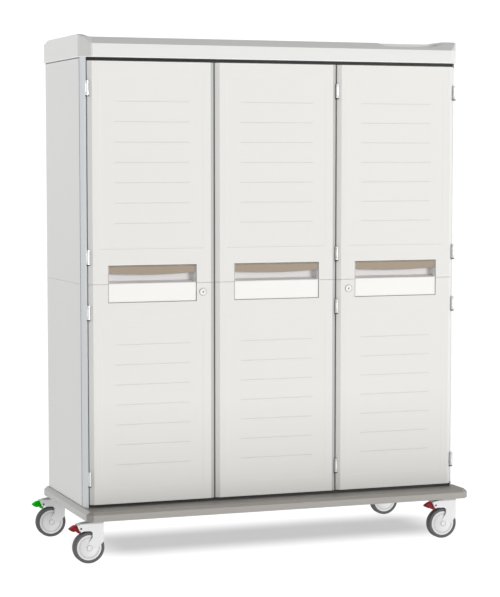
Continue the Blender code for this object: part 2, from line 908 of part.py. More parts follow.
def build_lock(index, parent):
    """A cam lock about its own axis: rosette with a key slot, barrel and cam."""
    lock = rod(f"lock_{index + 1}", (0, -lock_proud, 0), (0, -fit_gap, 0), lock_radius, disc_steps, steel)
    cam_front = flange_back + cam_clearance
    cam_back = cam_front + cam_thickness
    barrel = rod(
        f"lock_barrel_{index + 1}", (0, -fit_gap - overlap, 0), (0, cam_back, 0),
        lock_barrel_radius, disc_steps,
    )
    cam = box(
        f"lock_cam_{index + 1}",
        (-cam_half_width, cam_front, -lock_barrel_radius), (cam_half_width, cam_back, cam_reach),
    )
    slot = box(
        f"key_slot_{index + 1}",
        (-key_slot_width / 2, -lock_proud - overrun, -key_slot_length / 2),
        (key_slot_width / 2, -lock_proud + key_slot_depth, key_slot_length / 2),
    )
    join(lock, barrel, cam)
    cut(lock, slot)
    hang(lock, parent)


def build_doors():
    left_leaf = hinge_leaf_mesh(False)
    right_leaf = hinge_leaf_mesh(True)
    for index in range(door_count):
        hung_left = index == 0
        axis_gap = gap_centre(index if hung_left else index + 1)
        axis = pivot(f"door_{index + 1}_axis", (axis_gap, axis_behind_face, seam))
        shift = (door_centre(index) - axis_gap, -axis_behind_face, 0)
        for half in ("upper", "lower"):
            build_door_panel(index, half, axis, shift)
        build_pan(index, axis, shift)
        build_grip(index, axis, shift)
        for number, height in enumerate(hinge_heights):
            mesh = left_leaf if hung_left else right_leaf
            leaf = bpy.data.objects.new(f"hinge_{index + 1}_{number + 1}", mesh)
            cabinet.objects.link(leaf)
            hang(leaf, axis, (0, 0, height - seam))
        if index != 1:
            side = 1 if hung_left else -1
            place = (shift[0] + side * lock_from_centre, shift[1], -lock_below_seam)
            lock_axis = pivot(f"lock_{index + 1}_axis", place, axis)
            build_lock(index, lock_axis)


# Casters

def fork_outline():
    """The side view of a fork, in shares of the wheel radius from the axle, as (x, z) points."""
    boss_degrees = (-35, -205)
    front_shares = ((0.913, 0.38), (0.762, 0.23), (0.488, -0.04))
    hook_shares = ((-0.017, 0.38), (0.198, 0.65), (0.198, 0.96), (0.085, 1.071))
    arm_shares = ((-0.627, 1.10), (-0.784, 1.472), (-0.362, 1.565))
    top_shares = (0.088, 0.913)

    def placed(shares):
        return [(across * wheel_radius - trail, up * wheel_radius + axle_height) for across, up in shares]

    boss = arc((-trail, axle_height), fork_boss_radius, *boss_degrees, boss_steps)
    top = [(share * wheel_radius - trail, fork_top) for share in top_shares]
    return placed(front_shares) + boss + placed(hook_shares) + placed(arm_shares) + top


def fork_mesh(with_lever):
    """The swivel fork, with x = 0 on its stem and the wheel trailing towards -x."""
    fork = slab("fork", "XZ", fork_outline(), -fork_half_width, fork_half_width, caster_grey)
    space = rod(
        "wheel_space", (-trail, -cheek_gap_half, axle_height), (-trail, cheek_gap_half, axle_height),
        wheel_radius + wheel_clearance, wheel_steps,
    )
    cut(fork, space)
    reach = fork_half_width + overlap
    axle_start, axle_end = (-trail, -reach, axle_height), (-trail, reach, axle_height)
    axle = rod("axle", axle_start, axle_end, axle_radius, barrel_steps)
    head = rod(
        "swivel_head", (0, 0, fork_top - overlap), (0, 0, fork_top + swivel_gap - fit_gap),
        swivel_head_radius, disc_steps,
    )
    join(fork, axle, head)
    if with_lever:
        pivot_x, pivot_z = -trail - lever_pivot_back, axle_height + lever_pivot_rise
        half = lever_half_width + lever_side_gap
        slot = box(
            "lever_slot", (pivot_x - lever_slot_back, -half, pivot_z - lever_slot_drop),
            (pivot_x + lever_slot_front, half, pivot_z + lever_slot_rise),
        )
        through = fork_half_width + overrun
        hole = rod(
            "lever_hole", (pivot_x, -through, pivot_z), (pivot_x, through, pivot_z),
            lever_pin_radius + bore_gap, barrel_steps,
        )
        cut(fork, slot, hole)
    mesh = settle(fork)
    bpy.data.objects.remove(fork, do_unlink=True)
    return mesh


def lever_mesh(surface):
    """The brake lever about its pivot, with its pin through both cheeks."""
    lever_shares = (
        (0.133, -0.044), (0.11, 0.13), (-0.224, 0.258), (-0.544, 0.244), (-0.80, 0.10), (-1, -0.049),
        (-0.911, -0.162), (-0.64, -0.287), (-0.367, -0.242), (-0.231, -0.429), (0, -0.462), (0.09, -0.18),
    )
    outline = [(across * lever_reach, up * lever_reach) for across, up in lever_shares]
    lever = slab("lever", "XZ", outline, -lever_half_width, lever_half_width, surface)
    pin = rod(
        "lever_pin", (0, -fork_half_width, 0), (0, fork_half_width, 0), lever_pin_radius, barrel_steps,
    )
    join(lever, pin)
    mesh = settle(lever)
    bpy.data.objects.remove(lever, do_unlink=True)
    return mesh


def tyre_profile():
    half, inner = tyre_width / 2, tyre_inner_radius + fit_gap
    flank, tread = half - tyre_shoulder, wheel_radius - tyre_shoulder
    return [
        (inner, half), (tread, half), (wheel_radius, flank),
        (wheel_radius, -flank), (tread, -half), (inner, -half),
    ]


def hub_profile():
    half, bore = hub_width / 2, axle_radius + bore_gap
    sunk = half - hub_groove_depth
    near, far = hub_groove_radius - hub_groove_width / 2, hub_groove_radius + hub_groove_width / 2
    upper = [(bore, half), (near, half), (hub_groove_radius, sunk), (far, half), (tyre_inner_radius, half)]
    return upper + [(radius, -height) for radius, height in reversed(upper)]


def round_piece(name, profile, surface):
    piece = turned(name, profile, wheel_steps, surface)
    mesh = settle(piece)
    bpy.data.objects.remove(piece, do_unlink=True)
    mesh.transform(Matrix.Rotation(math.pi / 2, 4, "X"))
    mesh.shade_smooth()
    mesh.set_sharp_from_angle(angle=math.radians(smooth_below_degrees))
    return mesh


def place_copy(name, mesh, parent):
    made = bpy.data.objects.new(name, mesh)
    cabinet.objects.link(made)
    made.parent = parent
    return made


def build_casters():
    forks = {True: fork_mesh(True), False: fork_mesh(False)}
    hub = round_piece("hub", hub_profile(), caster_grey)
    tyre = round_piece("tyre", tyre_profile(), tyre_grey)
    red, green = lever_mesh(lever_red), lever_mesh(lever_green)
    levers = {"front_left": red, "front_right": red, "rear_left": green}
    for name, (x, y) in stem_places().items():
        stem = pivot(f"stem_{name}", (x, y, 0))
        place_copy(f"fork_{name}", forks[name in levers], stem)
        axle = pivot(f"axle_{name}", (-trail, 0, axle_height), stem)
        place_copy(f"hub_{name}", hub, axle)
        place_copy(f"tyre_{name}", tyre, axle)
        if name in levers:
            place = (-trail - lever_pivot_back, 0, axle_height + lever_pivot_rise)
            lever_axis = pivot(f"lever_axis_{name}", place, stem)
            place_copy(f"lever_{name}", levers[name], lever_axis)


build_base()
build_deck()
build_floor_and_roof()
build_sides()
build_back()
build_post("front_post_left", 0, 1, gap_centre(0))
build_post("front_post_right", body_width, -1, gap_centre(door_count))
build_partition("partition_left", 1, False)
build_partition("partition_right", 2, True)
build_cover()
build_doors()
build_casters()
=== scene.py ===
import math

import bmesh
import bpy
from mathutils import Matrix, Vector


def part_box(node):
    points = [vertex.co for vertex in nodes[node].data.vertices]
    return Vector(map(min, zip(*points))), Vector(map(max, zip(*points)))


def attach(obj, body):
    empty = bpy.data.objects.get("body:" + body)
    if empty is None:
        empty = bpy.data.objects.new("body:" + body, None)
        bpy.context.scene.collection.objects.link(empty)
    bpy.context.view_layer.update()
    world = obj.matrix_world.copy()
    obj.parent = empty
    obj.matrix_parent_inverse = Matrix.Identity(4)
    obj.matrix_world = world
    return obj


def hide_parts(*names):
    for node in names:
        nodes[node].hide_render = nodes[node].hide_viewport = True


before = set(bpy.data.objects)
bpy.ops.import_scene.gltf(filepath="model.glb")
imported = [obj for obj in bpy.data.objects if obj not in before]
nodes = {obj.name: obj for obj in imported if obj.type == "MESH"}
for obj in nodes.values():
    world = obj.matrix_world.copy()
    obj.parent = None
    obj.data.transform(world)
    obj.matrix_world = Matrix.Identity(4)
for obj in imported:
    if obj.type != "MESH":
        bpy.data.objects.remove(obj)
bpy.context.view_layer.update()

doors = (1, 2, 3)
print("frame loaded:", len(nodes), "nodes")


def boxOf(name):
    low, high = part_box(name)
    return Vector(low), Vector(high)


# camera, at the photograph's place

camera = {
    "place": (-2.8667, -7.8110, 1.6016),
    "tiltDeg": 85.11,
    "turnDeg": -20.2132,
    "lensMm": 142.06,
    "shiftUp": 0.0608,
    "sensorMm": 36,
    "farthest": 60,
}


def makeCamera():
    data = bpy.data.cameras.new("photoCamera")
    data.sensor_fit = "HORIZONTAL"
    data.sensor_width = camera["sensorMm"]
    data.lens = camera["lensMm"]
    data.shift_y = camera["shiftUp"]
    data.clip_end = camera["farthest"]
    seen = bpy.data.objects.new("photoCamera", data)
    seen.location = camera["place"]
    seen.rotation_euler = (math.radians(camera["tiltDeg"]), 0, math.radians(camera["turnDeg"]))
    bpy.context.collection.objects.link(seen)
    bpy.context.scene.camera = seen


# studio: a pale floor, a surround that is bright low down and dim overhead, and far soft boxes

studio = {
    "floorSize": 60.0,
    "floorSeen": 0.25,  # the floor's own colour for the camera
    "floorRoughness": 0.9,
    "floorBounce": 0.70,  # what it throws back on the cabinet
    "bounceGlow": 0.33,
    "glowNear": 0.475,  # added for the camera alone, so that the floor reads as white; this lower value lies inside the painted shadow
    "glowFar": 0.98,
    "shadeCentre": (0.09, 0.03, 0.0),  # a painted soft shadow under the cabinet, standing in for the shade of the base
    "shadeHalf": (0.63, 0.07, 0.0),
    "shadeFade": 0.30,
    "surroundLow": 0.97,
    "surroundHigh": 0.24,
    "surroundRise": (0.05, 0.62),  # heights of the view direction between which it dims
    "background": 1.1,  # what the camera sees behind the floor
    "boxes": (  # name, place, aim, width, height, watts
        ("frontRight", (21.0, -30.0, 4.2), (0.0, 0.0, 1.1), 12.0, 10.0, 6720),
        ("leftRear", (-28.0, 6.0, 3.4), (0.0, 0.0, 1.1), 12.0, 10.0, 2380),
    ),
}


def makeWorld():
    world = bpy.data.worlds.new("surround")
    bpy.context.scene.world = world
    world.use_nodes = True
    tree = world.node_tree
    sky = tree.nodes["Background"]
    sky.inputs["Color"].default_value = (1, 1, 1, 1)
    where = tree.nodes.new("ShaderNodeTexCoord")
    split = tree.nodes.new("ShaderNodeSeparateXYZ")
    fade = tree.nodes.new("ShaderNodeMapRange")
    fade.inputs["From Min"].default_value, fade.inputs["From Max"].default_value = studio["surroundRise"]
    fade.inputs["To Min"].default_value = studio["surroundLow"]
    fade.inputs["To Max"].default_value = studio["surroundHigh"]
    ray = tree.nodes.new("ShaderNodeLightPath")
    seen = tree.nodes.new("ShaderNodeMix")
    seen.inputs["B"].default_value = studio["background"]
    tree.links.new(where.outputs["Generated"], split.inputs[0])
    tree.links.new(split.outputs["Z"], fade.inputs["Value"])
    tree.links.new(ray.outputs["Is Camera Ray"], seen.inputs["Factor"])
    tree.links.new(fade.outputs["Result"], seen.inputs["A"])
    tree.links.new(seen.outputs["Result"], sky.inputs["Strength"])


def vectorNode(tree, operation, first, second=None):
    node = tree.nodes.new("ShaderNodeVectorMath")
    node.operation = operation
    tree.links.new(first, node.inputs[0])
    if second is not None:
        node.inputs[1].default_value = second
    return node.outputs["Value" if operation == "LENGTH" else "Vector"]


def makeFloor():
    shape = bmesh.new()
    bmesh.ops.create_grid(shape, x_segments=1, y_segments=1, size=studio["floorSize"] / 2)
    mesh = bpy.data.meshes.new("floor")
    shape.to_mesh(mesh)
    shape.free()
    floor = bpy.data.objects.new("floor", mesh)
    bpy.context.collection.objects.link(floor)
    paper = bpy.data.materials.new("floorPaper")
    paper.use_nodes = True
    tree = paper.node_tree
    link = tree.links.new
    shader = tree.nodes["Principled BSDF"]
    shader.inputs["Roughness"].default_value = studio["floorRoughness"]
    shader.inputs["Specular IOR Level"].default_value = 0.0
    shader.inputs["Emission Color"].default_value = (1, 1, 1, 1)
    ray = tree.nodes.new("ShaderNodeLightPath")
    tone = tree.nodes.new("ShaderNodeMix")
    tone.data_type = "RGBA"
    tone.inputs[6].default_value = (*[studio["floorBounce"]] * 3, 1)
    tone.inputs[7].default_value = (*[studio["floorSeen"]] * 3, 1)
    link(ray.outputs["Is Camera Ray"], tone.inputs[0])
    link(tone.outputs[2], shader.inputs["Base Color"])
    where = tree.nodes.new("ShaderNodeTexCoord")
    fromCentre = vectorNode(tree, "SUBTRACT", where.outputs["Object"], studio["shadeCentre"])
    folded = vectorNode(tree, "ABSOLUTE", fromCentre)
    outside = vectorNode(tree, "MAXIMUM", vectorNode(tree, "SUBTRACT", folded, studio["shadeHalf"]), (0, 0, 0))
    rise = tree.nodes.new("ShaderNodeMapRange")
    rise.interpolation_type = "SMOOTHSTEP"
    rise.inputs["From Min"].default_value = 0.0
    rise.inputs["From Max"].default_value = studio["shadeFade"]
    rise.inputs["To Min"].default_value = studio["glowNear"]
    rise.inputs["To Max"].default_value = studio["glowFar"]
    glow = tree.nodes.new("ShaderNodeMix")
    glow.inputs["A"].default_value = studio["bounceGlow"]
    link(vectorNode(tree, "LENGTH", outside), rise.inputs["Value"])
    link(ray.outputs["Is Camera Ray"], glow.inputs["Factor"])
    link(rise.outputs["Result"], glow.inputs["B"])
    link(glow.outputs["Result"], shader.inputs["Emission Strength"])
    mesh.materials.append(paper)


def makeStudio():
    bpy.context.scene.view_settings.view_transform = "Standard"
    makeWorld()
    makeFloor()
    for name, place, aim, wide, tall, watts in studio["boxes"]:
        data = bpy.data.lights.new(name, "AREA")
        data.shape = "RECTANGLE"
        data.size, data.size_y = wide, tall
        data.energy = watts
        lamp = bpy.data.objects.new(name, data)
        lamp.location = place
        lamp.rotation_euler = (Vector(aim) - Vector(place)).to_track_quat("-Z", "Y").to_euler()
        bpy.context.collection.objects.link(lamp)


# shared effects

def newGroup(name, inputs, outputs):
    group = bpy.data.node_groups.new(name, "ShaderNodeTree")
    for label, kind, value in inputs:
        socket = group.interface.new_socket(label, in_out="INPUT", socket_type=kind)
        socket.default_value = value
    for label, kind in outputs:
        group.interface.new_socket(label, in_out="OUTPUT", socket_type=kind)
    start = group.nodes.new("NodeGroupInput")
    end = group.nodes.new("NodeGroupOutput")
    return group, start, end


def mathNode(tree, operation, first, second=0.0):
    node = tree.nodes.new("ShaderNodeMath")
    node.operation = operation
    for socket, value in zip(node.inputs, (first, second)):
        if isinstance(value, (int, float)):
            socket.default_value = value
        else:
            tree.links.new(value, socket)
    return node.outputs[0]


effectLook = {"driftScale": 2.6, "driftDetail": 3, "grainDetail": 2, "lineDetail": 3}


# the pattern around 0.5 spreads the roughness, and is the relief's height
def glossAndHeight(group, start, end, pattern):
    around = mathNode(group, "SUBTRACT", pattern, 0.5)
    spread = mathNode(group, "MULTIPLY", around, start.outputs["Gloss Spread"])
    group.links.new(mathNode(group, "ADD", start.outputs["Roughness"], spread), end.inputs["Roughness"])
    group.links.new(pattern, end.inputs["Height"])


# fine moulded grain, with slow drifts of colour and gloss
def makeGrainGroup():
    inputs = (
        ("Colour", "NodeSocketColor", (0.8, 0.8, 0.8, 1)), ("Shade", "NodeSocketColor", (0.7, 0.7, 0.7, 1)),
        ("Drift", "NodeSocketFloat", 0.3), ("Grain Scale", "NodeSocketFloat", 900.0),
        ("Roughness", "NodeSocketFloat", 0.4), ("Gloss Spread", "NodeSocketFloat", 0.08),
    )
    outputs = (("Colour", "NodeSocketColor"), ("Roughness", "NodeSocketFloat"), ("Height", "NodeSocketFloat"))
    group, start, end = newGroup("mouldedGrain", inputs, outputs)
    where = group.nodes.new("ShaderNodeTexCoord")
    slow = group.nodes.new("ShaderNodeTexNoise")
    slow.inputs["Scale"].default_value = effectLook["driftScale"]
    slow.inputs["Detail"].default_value = effectLook["driftDetail"]
    grain = group.nodes.new("ShaderNodeTexNoise")
    grain.inputs["Detail"].default_value = effectLook["grainDetail"]
    mix = group.nodes.new("ShaderNodeMix")
    mix.data_type = "RGBA"
    link = group.links.new
    link(where.outputs["Object"], slow.inputs["Vector"])
    link(where.outputs["Object"], grain.inputs["Vector"])
    link(start.outputs["Grain Scale"], grain.inputs["Scale"])
    link(mathNode(group, "MULTIPLY", slow.outputs["Fac"], start.outputs["Drift"]), mix.inputs[0])
    link(start.outputs["Colour"], mix.inputs[6])
    link(start.outputs["Shade"], mix.inputs[7])
    link(mix.outputs[2], end.inputs["Colour"])
    glossAndHeight(group, start, end, grain.outputs["Fac"])
    return group


# drawn or brushed metal: long fine lines one way
def makeBrushedGroup():
    inputs = (
        ("Colour", "NodeSocketColor", (0.7, 0.7, 0.7, 1)), ("Shade", "NodeSocketColor", (0.5, 0.5, 0.5, 1)),
        ("Stretch", "NodeSocketVector", (900.0, 900.0, 6.0)), ("Roughness", "NodeSocketFloat", 0.3),
        ("Gloss Spread", "NodeSocketFloat", 0.15),
    )
    outputs = (("Colour", "NodeSocketColor"), ("Roughness", "NodeSocketFloat"), ("Height", "NodeSocketFloat"))
    group, start, end = newGroup("brushedMetal", inputs, outputs)
    where = group.nodes.new("ShaderNodeTexCoord")
    drawn = group.nodes.new("ShaderNodeVectorMath")
    drawn.operation = "MULTIPLY"
    lines = group.nodes.new("ShaderNodeTexNoise")
    lines.inputs["Scale"].default_value = 1.0
    lines.inputs["Detail"].default_value = effectLook["lineDetail"]
    mix = group.nodes.new("ShaderNodeMix")
    mix.data_type = "RGBA"
    link = group.links.new
    link(where.outputs["Object"], drawn.inputs[0])
    link(start.outputs["Stretch"], drawn.inputs[1])
    link(drawn.outputs[0], lines.inputs["Vector"])
    link(lines.outputs["Fac"], mix.inputs[0])
    link(start.outputs["Colour"], mix.inputs[6])
    link(start.outputs["Shade"], mix.inputs[7])
    link(mix.outputs[2], end.inputs["Colour"])
    glossAndHeight(group, start, end, lines.outputs["Fac"])
    return group


# 1 inside a box of the rest pose, 0 outside
def makeZoneGroup():
    inputs = (("Low", "NodeSocketVector", (0.0, 0.0, 0.0)), ("High", "NodeSocketVector", (1.0, 1.0, 1.0)))
    group, start, end = newGroup("zone", inputs, (("Mask", "NodeSocketFloat"),))
    where = group.nodes.new("ShaderNodeTexCoord")
    here = group.nodes.new("ShaderNodeSeparateXYZ")
    group.links.new(where.outputs["Object"], here.inputs[0])
    mask = 1.0
    for corner, test in (("Low", "GREATER_THAN"), ("High", "LESS_THAN")):
        limit = group.nodes.new("ShaderNodeSeparateXYZ")
        group.links.new(start.outputs[corner], limit.inputs[0])
        for axis in "XYZ":
            inside = mathNode(group, test, here.outputs[axis], limit.outputs[axis])
            mask = mathNode(group, "MULTIPLY", inside, mask)
    group.links.new(mask, end.inputs["Mask"])
    return group


# falls from 1 to 0 between two heights, fastest at the lower one
def makeFallGroup():
    inputs = (("From", "NodeSocketFloat", 0.0), ("To", "NodeSocketFloat", 1.0))
    group, start, end = newGroup("fall", inputs, (("Mask", "NodeSocketFloat"),))
    where = group.nodes.new("ShaderNodeTexCoord")
    here = group.nodes.new("ShaderNodeSeparateXYZ")
    share = group.nodes.new("ShaderNodeMapRange")
    group.links.new(where.outputs["Object"], here.inputs[0])
    group.links.new(here.outputs["Z"], share.inputs["Value"])
    group.links.new(start.outputs["From"], share.inputs["From Min"])
    group.links.new(start.outputs["To"], share.inputs["From Max"])
    fallen = mathNode(group, "SQRT", share.outputs["Result"])
    group.links.new(mathNode(group, "SUBTRACT", 1.0, fallen), end.inputs["Mask"])
    return group


# level lines across a door, mirrored about the seam, on its front only
def makeLinesGroup():
    names = ("Middle", "Half Length", "Seam", "First", "Pitch", "Count", "Half Height", "Behind")
    inputs = tuple((name, "NodeSocketFloat", 0.1) for name in names)
    group, start, end = newGroup("lines", inputs, (("Mask", "NodeSocketFloat"),))
    where = group.nodes.new("ShaderNodeTexCoord")
    here = group.nodes.new("ShaderNodeSeparateXYZ")
    group.links.new(where.outputs["Object"], here.inputs[0])
    given = start.outputs
    across = mathNode(group, "ABSOLUTE", mathNode(group, "SUBTRACT", here.outputs["X"], given["Middle"]))
    height = mathNode(group, "ABSOLUTE", mathNode(group, "SUBTRACT", here.outputs["Z"], given["Seam"]))
    step = mathNode(group, "DIVIDE", mathNode(group, "SUBTRACT", height, given["First"]), given["Pitch"])
    offset = mathNode(group, "ABSOLUTE", mathNode(group, "SUBTRACT", step, mathNode(group, "ROUND", step)))
    distance = mathNode(group, "MULTIPLY", offset, given["Pitch"])
    mask = mathNode(group, "LESS_THAN", distance, given["Half Height"])
    for test, value, limit in (
        ("LESS_THAN", across, given["Half Length"]), ("LESS_THAN", here.outputs["Y"], given["Behind"]),
        ("GREATER_THAN", step, -0.5), ("LESS_THAN", step, mathNode(group, "SUBTRACT", given["Count"], 0.5)),
    ):
        mask = mathNode(group, "MULTIPLY", mask, mathNode(group, test, value, limit))
    group.links.new(mask, end.inputs["Mask"])
    return group


groups = {
    "grain": makeGrainGroup(), "brushed": makeBrushedGroup(), "zone": makeZoneGroup(), "fall": makeFallGroup(),
    "lines": makeLinesGroup(),
}


relief = {"grain": (0.12, 0.0004), "brushed": (0.06, 0.0002)}  # strength and reach


def makeFinish(name, group, values, metallic=0.0, specular=0.5):
    finish = bpy.data.materials.new(name)
    finish.use_nodes = True
    tree = finish.node_tree
    shader = tree.nodes["Principled BSDF"]
    shader.inputs["Metallic"].default_value = metallic
    shader.inputs["Specular IOR Level"].default_value = specular
    effect = tree.nodes.new("ShaderNodeGroup")
    effect.node_tree = groups[group]
    for label, value in values.items():
        effect.inputs[label].default_value = (*value, 1) if label in ("Colour", "Shade") else value
    bump = tree.nodes.new("ShaderNodeBump")
    bump.inputs["Strength"].default_value, bump.inputs["Distance"].default_value = relief[group]
    tree.links.new(effect.outputs["Colour"], shader.inputs["Base Color"])
    tree.links.new(effect.outputs["Roughness"], shader.inputs["Roughness"])
    tree.links.new(effect.outputs["Height"], bump.inputs["Height"])
    tree.links.new(bump.outputs["Normal"], shader.inputs["Normal"])
    return finish


grainLabels = ("Colour", "Shade", "Drift", "Grain Scale", "Roughness", "Gloss Spread")
finishes = {  # the grain effect's values in that order, then the specular level
    "doorWhite": ((0.84, 0.83, 0.805), (0.81, 0.80, 0.775), 0.35, 1100.0, 0.46, 0.06, 0.10),
    "bodyWhite": ((0.78, 0.78, 0.775), (0.75, 0.75, 0.745), 0.35, 1000.0, 0.42, 0.06, 0.3),
    "coverWhite": ((0.83, 0.83, 0.81), (0.80, 0.80, 0.78), 0.35, 1000.0, 0.44, 0.06, 0.12),
    "wallWhite": ((0.78, 0.78, 0.775), (0.75, 0.75, 0.745), 0.35, 1000.0, 0.42, 0.06, 0.3),
    "panGrey": ((0.81, 0.79, 0.785), (0.78, 0.76, 0.755), 0.3, 1200.0, 0.42, 0.06, 0.2),
    "labelWhite": ((0.95, 0.94, 0.915), (0.93, 0.92, 0.895), 0.3, 1500.0, 0.40, 0.04, 0.15),
    "gripTaupe": ((0.412, 0.336, 0.26), (0.368, 0.30, 0.233), 0.4, 1200.0, 0.50, 0.08, 0.08),
    "baseTaupe": ((0.39, 0.367, 0.344), (0.33, 0.308, 0.292), 0.4, 700.0, 0.42, 0.10, 0.45),
    "casterGrey": ((0.84, 0.84, 0.84), (0.79, 0.79, 0.79), 0.4, 1300.0, 0.42, 0.08, 0.3),
    # a darker grey laid as painted shade in the hubs' grooves, round the axle caps' edges and round the locks
    "paintedShadeGrey": ((0.50, 0.50, 0.50), (0.44, 0.44, 0.44), 0.4, 1300.0, 0.50, 0.08, 0.2),
    "tyreGrey": ((0.09, 0.09, 0.09), (0.13, 0.13, 0.13), 0.9, 900.0, 0.62, 0.12, 0.4),
    # black for the bushings and pin ends, and laid as painted shade in the door gaps, round the handles and in
    # the keyways
    "blackRubberAndPaintedShade": ((0.022, 0.022, 0.022), (0.04, 0.04, 0.04), 0.8, 1400.0, 0.55, 0.12, 0.4),
    "leverRed": ((0.285, 0.004, 0.004), (0.225, 0.003, 0.003), 0.4, 1500.0, 0.40, 0.06, 0.2),
    "leverGreen": ((0.0, 0.52, 0.0), (0.0, 0.44, 0.0), 0.4, 1500.0, 0.45, 0.06, 0.02),
}
brushedLabels = ("Colour", "Shade", "Stretch", "Roughness", "Gloss Spread")
metals = {  # the brushed effect's values in that order, then how metallic
    "aluminiumProfile": ((0.70, 0.725, 0.745), (0.63, 0.655, 0.675), (900.0, 900.0, 5.0), 0.5, 0.10, 0.1),
    # the next finish is the same aluminium painted paler, as painted light on the right post and its lip
    "aluminiumPaintedLight": ((0.95, 0.96, 0.97), (0.92, 0.93, 0.94), (900.0, 900.0, 5.0), 0.5, 0.10, 0.1),
    "hingeSteel": ((0.82, 0.82, 0.82), (0.68, 0.68, 0.68), (1200.0, 1200.0, 60.0), 0.30, 0.12, 0.7),
    "lockChrome": ((0.84, 0.84, 0.82), (0.78, 0.78, 0.76), (2000.0, 60.0, 2000.0), 0.50, 0.08, 0.15),
    "deckPlate": ((0.60, 0.60, 0.60), (0.48, 0.48, 0.48), (8.0, 700.0, 700.0), 0.42, 0.15, 0.9),
}
doorMiddles = [sum(corner.x for corner in boxOf(f"door_{door}_upper")) / 2 for door in doors]
recessRights = [boxOf(f"handle_pan_{door}")[1].x for door in doors]
redPivots = (-0.8235, 0.7307)  # of the red levers, along X
fieldLine = {"halfLength": 0.217, "foot": 1.2470, "head": 1.2486}  # lower border of the upper fields
# boxes of the rest pose where painted light and shade are laid over a finish: lowest corner, highest corner,
# colour
paintedLightZones = {
    "coverWhite": (
        ((-0.90, -0.30, 2.0000), (0.90, 0.40, 2.0098), (0.97, 0.97, 0.955)),  # painted highlight along the lower edge
        ((-0.7462, -0.2700, 2.0600), (0.8700, -0.2310, 2.0869), (0.64, 0.64, 0.63)),  # painted shade on the sloped band
        ((-0.7930, -0.2630, 2.0098), (-0.7462, -0.2160, 2.0880), (0.70, 0.70, 0.685)),  # painted shade on the cut corner
        ((-0.7935, -0.2150, 2.0098), (-0.7900, -0.2105, 2.0900), (0.52, 0.52, 0.51)),  # painted shade line on the edge of the cut corner
        ((0.6800, -0.2310, 2.0870), (0.8700, 0.40, 2.0990), (0.97, 0.97, 0.95)),  # painted light on the top of the right end
        ((0.4600, -0.2056, 2.0600), (0.8000, -0.2010, 2.0869), (0.68, 0.68, 0.67)),  # painted shade on the back of the scoop
    ),
    "wallWhite": (((-0.90, -0.30, 0.10), (0.90, -0.2096, 2.10), (0.080, 0.080, 0.079)),),  # mullion fronts, painted nearly black as the shade in the gaps between the doors
    "bodyWhite": (
        ((-0.90, -0.2110, 0.10), (0.90, -0.2020, 2.10), (0.22, 0.22, 0.22)),  # painted shade along the joint with the posts
        ((-0.90, -0.2110, 2.0022), (0.90, 0.33, 2.0070), (0.20, 0.20, 0.20)),  # painted shade along the joint with the cover
    ),
    "doorWhite": (
        ((-0.7675, -0.27, 0.2), (-0.7500, -0.20, 2.0), (0.72, 0.72, 0.70)),  # painted shade on the hinge side of the left door
        ((-0.2545, -0.27, 0.2), (-0.2365, -0.20, 2.0), (0.53, 0.53, 0.52)),  # painted shade on its lock side
        ((0.2789, -0.27, 0.2), (0.2969, -0.20, 2.0), (0.53, 0.53, 0.52)),  # painted shade on the right edge of the middle door
        # painted shade along the lower border of the upper fields
        *(
            (
                (x - fieldLine["halfLength"], -0.27, fieldLine["foot"]),
                (x + fieldLine["halfLength"], -0.25, fieldLine["head"]), (0.66, 0.65, 0.64),
            ) for x in doorMiddles
        ),
        ((-0.2408, -0.27, 0.2), (-0.2365, -0.20, 2.0), (0.25, 0.25, 0.25)),  # painted shade, darker, on the last few millimetres of both
        ((0.2926, -0.27, 0.2), (0.2969, -0.20, 2.0), (0.22, 0.22, 0.22)),
    ),
    "panGrey": tuple(  # painted light on the right walls of the recesses, which lie in shade
        ((x - 0.0055, -0.2575, 1.0), (x + 0.0005, -0.2200, 1.2), (0.97, 0.96, 0.955)) for x in recessRights
    ),
    "casterGrey": (((-0.90, -0.40, 0.1605), (0.90, 0.40, 0.1750), (0.52, 0.52, 0.53)),),  # painted shade on the top of the forks, under the base
    "leverRed": tuple(  # painted shade on the underside of the tips
        ((x - 0.057, -0.40, 0.10), (x - 0.030, -0.20, 0.1455), (0.17, 0.003, 0.003)) for x in redPivots
    ),
    "baseTaupe": (
        ((-0.7940, -0.37, 0.1995), (0.90, 0.37, 0.2120), (0.340, 0.322, 0.301)),  # painted shade on the bevel and ledge
        ((-0.8060, -0.3610, 0.17), (-0.7817, -0.3364, 0.2120), (0.308, 0.29, 0.272)),  # painted shade on the cut corner
        ((-0.82, -0.3364, 0.17), (-0.7862, 0.37, 0.2120), (0.570, 0.565, 0.548)),  # painted light on the left face and ledge
    ),
}
# painted shade in the bottom of the grooves of the doors
grooveLines = {
    "Half Length": 0.158, "Seam": 1.1078, "First": 0.2425, "Pitch": 0.0807, "Count": 7, "Half Height": 0.0013,
    "Behind": -0.2500,
}
grooveKept = 0.86
# finishes with a painted shade that grows darker towards the ground: from, to, share kept at the bottom
lowShades = {"doorWhite": (0.20, 0.64, 0.73)}


def maskFrom(finish, group, values):
    node = finish.node_tree.nodes.new("ShaderNodeGroup")
    node.node_tree = groups[group]
    for label, value in values.items():
        node.inputs[label].default_value = value
    return node.outputs["Mask"]


# lays a colour over the base colour where the mask is 1
def layColour(finish, mask, colour, blend="MIX"):
    tree = finish.node_tree
    base = tree.nodes["Principled BSDF"].inputs["Base Color"]
    mix = tree.nodes.new("ShaderNodeMix")
    mix.data_type = "RGBA"
    mix.blend_type = blend
    mix.inputs[7].default_value = (*colour, 1)
    tree.links.new(base.links[0].from_socket, mix.inputs[6])
    tree.links.new(mask, mix.inputs[0])
    tree.links.new(mix.outputs[2], base)


